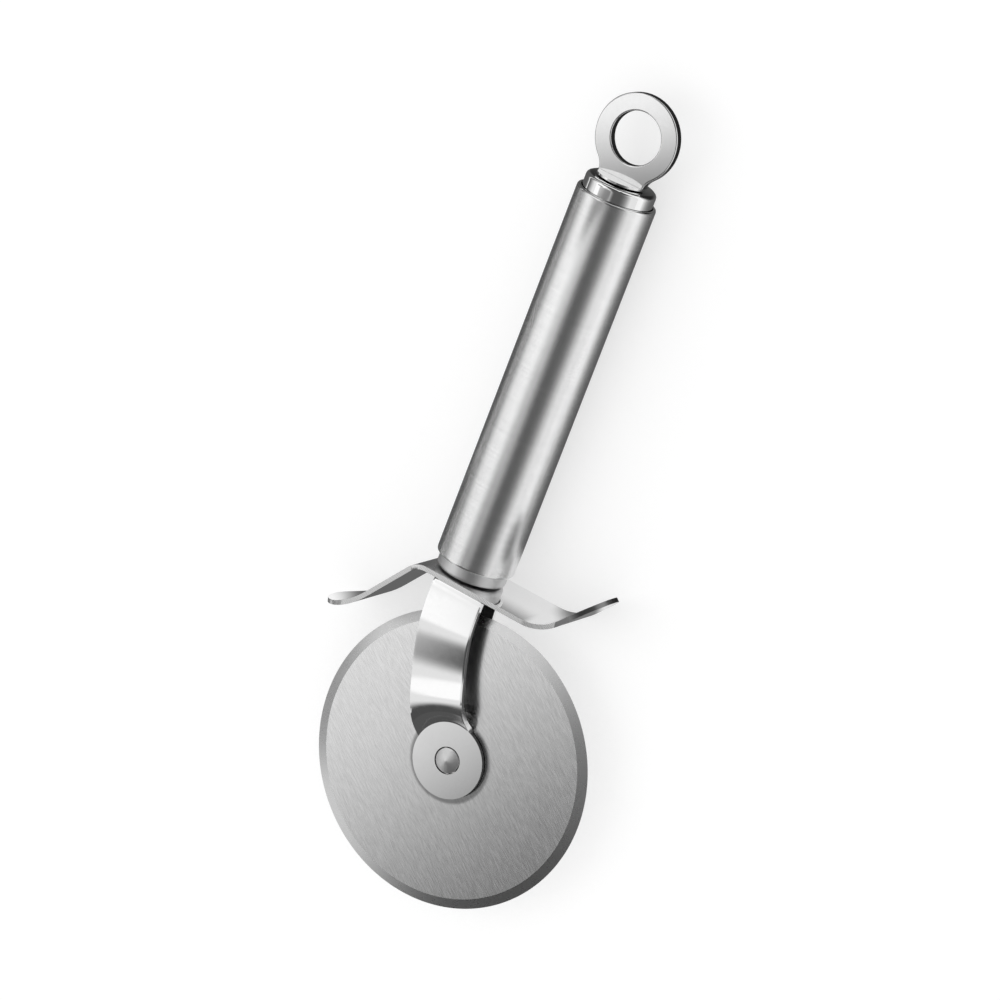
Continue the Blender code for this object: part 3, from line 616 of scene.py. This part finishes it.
open_at(fork, "EDGE", on_seam)
leave()
step_top = DISC_RADIUS + STEP_RUN
step_height = prong_face(step_top) - DISC_FACE
lead = math.tan(prong_slope(step_top)) * STEP_RUN / step_height
for i in range(1, STEP_ROWS + 1):
    share = i / STEP_ROWS
    height = DISC_FACE + step_height * (1 - lead * (1 - share) - (1 - lead) * (1 - share) ** STEP_BEND)
    draw_row(fork, prong_points(DISC_RADIUS + STEP_RUN * share, height))
for i in range(1, PRONG_ROWS + 1):
    back = step_top + (prong_length - step_top) * i / PRONG_ROWS
    draw_row(fork, prong_points(back, prong_face(back)))
for i in range(1, FOLD_ROWS + 1):
    turn = math.radians(90.0 * i / FOLD_ROWS)
    height = FORK_HALF_SPREAD - FORK_FOLD_RADIUS * (1 - math.cos(turn))
    draw_row(fork, fold_points(fold_start + FORK_FOLD_RADIUS * math.sin(turn), height))
draw_row(fork, fold_points(FORK_TOP_Y, 0.0))
bpy.ops.object.empty_add(location=AXLE)
middle_plane = bpy.context.object
take(fork)
halves = fork.modifiers.new("halves", "MIRROR")
halves.use_axis = (False, False, True)
halves.mirror_object = middle_plane
halves.merge_threshold = WELD
bpy.ops.object.modifier_apply(modifier=halves.name)
open_at(fork, "FACE", everything)
bpy.ops.mesh.normals_make_consistent(inside=False)
leave()
wall = fork.modifiers.new("wall", "SOLIDIFY")
wall.thickness = FORK_THICKNESS
wall.offset = -1.0
wall.use_even_offset = True
bpy.ops.object.modifier_apply(modifier=wall.name)
bpy.ops.object.select_all(action="DESELECT")
bpy.ops.mesh.primitive_cylinder_add(vertices=PUNCH_SIDES, radius=SCREW_HOLE_RADIUS, depth=PUNCH_DEPTH,
                                    rotation=(math.radians(90.0), 0.0, 0.0), location=(HANDLE_X, FORK_TOP_Y, AXLE.z))
punch = bpy.context.object
take(fork)
hole = fork.modifiers.new("screw_hole", "BOOLEAN")
hole.object = punch
hole.solver = "EXACT"
bpy.ops.object.modifier_apply(modifier=hole.name)
for helper in (punch, middle_plane):
    bpy.data.objects.remove(helper)
finish_edges(fork, CREASE, FORK_EASE, FORK_EASE_STEPS)
polish = steel_finish("polished_steel", colour=(0.88, 0.88, 0.88), roughness=0.06, rough_spread=0.02,
                      lines_per_metre=(700.0, 700.0, 700.0), line_depth=0.0000005)
# The faces inside the fold, between the prongs, are near black: painted shade between the prongs, on a rougher steel.
fold_painted_shade = steel_finish("fold_inside_painted_shade", colour=(0.12, 0.12, 0.12), roughness=0.45, rough_spread=0.03,
                           lines_per_metre=(700.0, 700.0, 700.0), line_depth=0.0000005)
fork.data.materials.append(polish)
fork.data.materials.append(fold_painted_shade)
for face in fork.data.polygons:
    between = abs(face.center.z - AXLE.z) < FORK_HALF_SPREAD - SHADE_INSET
    in_fold = fold_start - SHADE_REACH < face.center.y < FORK_TOP_Y - SHADE_INSET
    face.material_index = 1 if between and in_fold else 0
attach(fork, "handle")
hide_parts("wheel_fork")

# Thumb guard: a polished steel strip bent to a wave, with round ends, clamped between the fork and the handle.
# The solid's own triangles are joined up again, and its cut edges are eased as a polishing wheel leaves them.
GUARD_ROUND = 0.0095
GUARD_NOSE = 0.0010
GUARD_EASE = 0.00012
GUARD_EASE_STEPS = 2
GUARD_CREASE = 40.0
LEAST_TILT = 0.05
NOSE_TILT = 0.7
SAME_FACE_ANGLE = 0.4


def eased_copy(node, name, crease, width=0.0, segments=0):
    """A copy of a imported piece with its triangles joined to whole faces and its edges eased."""
    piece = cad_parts[node].copy()
    piece.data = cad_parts[node].data.copy()
    piece.name = name
    for key in list(piece.keys()):
        del piece[key]
    piece.parent = None
    piece.data.materials.clear()
    bpy.context.scene.collection.objects.link(piece)
    take(piece)
    bpy.ops.object.mode_set(mode="EDIT")
    bpy.ops.mesh.select_all(action="SELECT")
    bpy.ops.mesh.remove_doubles(threshold=WELD)
    bpy.ops.mesh.dissolve_limited(angle_limit=math.radians(SAME_FACE_ANGLE))
    leave()
    finish_edges(piece, crease, width, segments)
    return piece


guard = eased_copy("thumb_guard", "polished_guard", GUARD_CREASE, GUARD_EASE, GUARD_EASE_STEPS)
cut_edge = steel_finish("cut_edge_steel", colour=(0.72, 0.72, 0.72), roughness=0.28, rough_spread=0.02,
                        lines_per_metre=(300.0, 5000.0, 300.0), line_depth=0.0000002, turn=-28.0, tone_spread=0.06)
# The guard's right round end gets a dark colour: painted shade on that end only. The left end has the cut edge's
# steel.
right_end_shade = steel_finish("right_end_painted_shade", colour=(0.26, 0.26, 0.26), roughness=0.30, rough_spread=0.03,
                       lines_per_metre=(700.0, 700.0, 700.0), line_depth=0.0000005)
for finish in (polish, cut_edge, right_end_shade):
    guard.data.materials.append(finish)
guard_low, guard_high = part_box("thumb_guard")
for face in guard.data.polygons:
    from_end = min(face.center.x - guard_low.x, guard_high.x - face.center.x)
    on_end = abs(face.normal.z) > LEAST_TILT or from_end < GUARD_NOSE and abs(face.normal.x) > NOSE_TILT
    if from_end < GUARD_ROUND and on_end:
        face.material_index = 2 if face.center.x > 0.0 else 1
    elif lies_flat(face.center, face.normal):
        face.material_index = 1
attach(guard, "handle")
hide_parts("thumb_guard")

# Fasteners: the steel bush round the rivet that keeps the fork's discs apart, and the screw and its lock washer,
# which hold the fork and the guard to the handle. They are hidden, so the solids stay as they are, in plain steel.
plain = steel_finish("plain_steel", colour=(0.62, 0.61, 0.60), roughness=0.24, rough_spread=0.06,
                     lines_per_metre=(1500.0, 1500.0, 1500.0), line_depth=0.000001)
for name in ("wheel_bush", "lock_washer", "fork_screw"):
    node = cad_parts[name]
    node.data.materials.clear()
    node.data.materials.append(plain)

# Lower plug: a turned steel plug that stands in the tube's lower end and on the guard. The part of it that shows is
# a satin band below the tube, with its lines round and round.
plug = eased_copy("lower_plug", "satin_plug", CREASE)
plug.data.materials.append(
    steel_finish("satin_steel", colour=(0.80, 0.80, 0.80), roughness=0.42, rough_spread=0.03,
                 lines_per_metre=(40.0, 6000.0, 40.0), line_depth=0.0000004))
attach(plug, "handle")
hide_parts("lower_plug")

# Handle: a stainless tube with a thin wall, brushed round and round, its two ends rolled in and left bright. It is
# drawn as an open pipe, given its wall, and rounded at both outer rims.
TUBE_RADIUS = 0.0100
TUBE_WALL = 0.0008
TUBE_EDGE = 0.0006
TUBE_EDGE_STEPS = 6
TUBE_SIDES = 256
END_SLACK = 0.00001
RIM_SLACK = 0.00005
tube_low, tube_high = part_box("handle_tube")
tube_middle = (tube_low + tube_high) / 2
bpy.ops.object.select_all(action="DESELECT")
bpy.ops.mesh.primitive_cylinder_add(vertices=TUBE_SIDES, radius=TUBE_RADIUS, depth=tube_high.y - tube_low.y,
                                    end_fill_type="NOTHING", location=tube_middle,
                                    rotation=(math.radians(-90.0), 0.0, 0.0))
tube = bpy.context.object
tube.name = "brushed_tube"
apply_place(tube)
wall = tube.modifiers.new("wall", "SOLIDIFY")
wall.thickness = TUBE_WALL
wall.offset = -1.0
bpy.ops.object.modifier_apply(modifier=wall.name)


def outer_rim(*ends):
    """A test for the edges round the outside of the tube's two ends."""
    at_end = all(min(abs(end.y - tube_low.y), abs(end.y - tube_high.y)) < END_SLACK for end in ends)
    reach = [math.hypot(end.x - tube_middle.x, end.z - tube_middle.z) for end in ends]
    return at_end and all(abs(away - TUBE_RADIUS) < RIM_SLACK for away in reach)


open_at(tube, "EDGE", outer_rim)
bpy.ops.mesh.bevel(offset=TUBE_EDGE, segments=TUBE_EDGE_STEPS, affect="EDGES")
leave()
finish_edges(tube, CREASE)
brushed = steel_finish("brushed_tube_steel", colour=(0.95, 0.95, 0.95), roughness=0.24, rough_spread=0.015,
                       lines_per_metre=(40.0, 7000.0, 40.0), line_depth=0.0000005, tone_spread=0.045)
tube.data.materials.append(brushed)
tube.data.materials.append(polish)
for face in tube.data.polygons:
    from_end = min(face.center.y - tube_low.y, tube_high.y - face.center.y)
    face.material_index = 1 if from_end < TUBE_EDGE else 0
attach(tube, "handle")
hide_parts("handle_tube")

# End cap: a polished steel cap that stands in the tube's upper end and rises out of it with a rounded shoulder. The
# hanging eye's stem is set in its middle.
cap = eased_copy("end_cap", "polished_cap", CREASE)
cap.data.materials.append(polish)
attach(cap, "handle")
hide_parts("end_cap")

# Hanging eye: a polished steel ring plate on a round foot, with a stem that is set in the cap. Its polish is a
# little duller than the cap's.
eye = eased_copy("hanging_eye", "polished_eye", CREASE)
eye.data.materials.append(
    steel_finish("eye_steel", colour=(0.80, 0.80, 0.80), roughness=0.09, rough_spread=0.02,
                 lines_per_metre=(700.0, 700.0, 700.0), line_depth=0.0000005))
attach(eye, "handle")
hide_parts("hanging_eye")
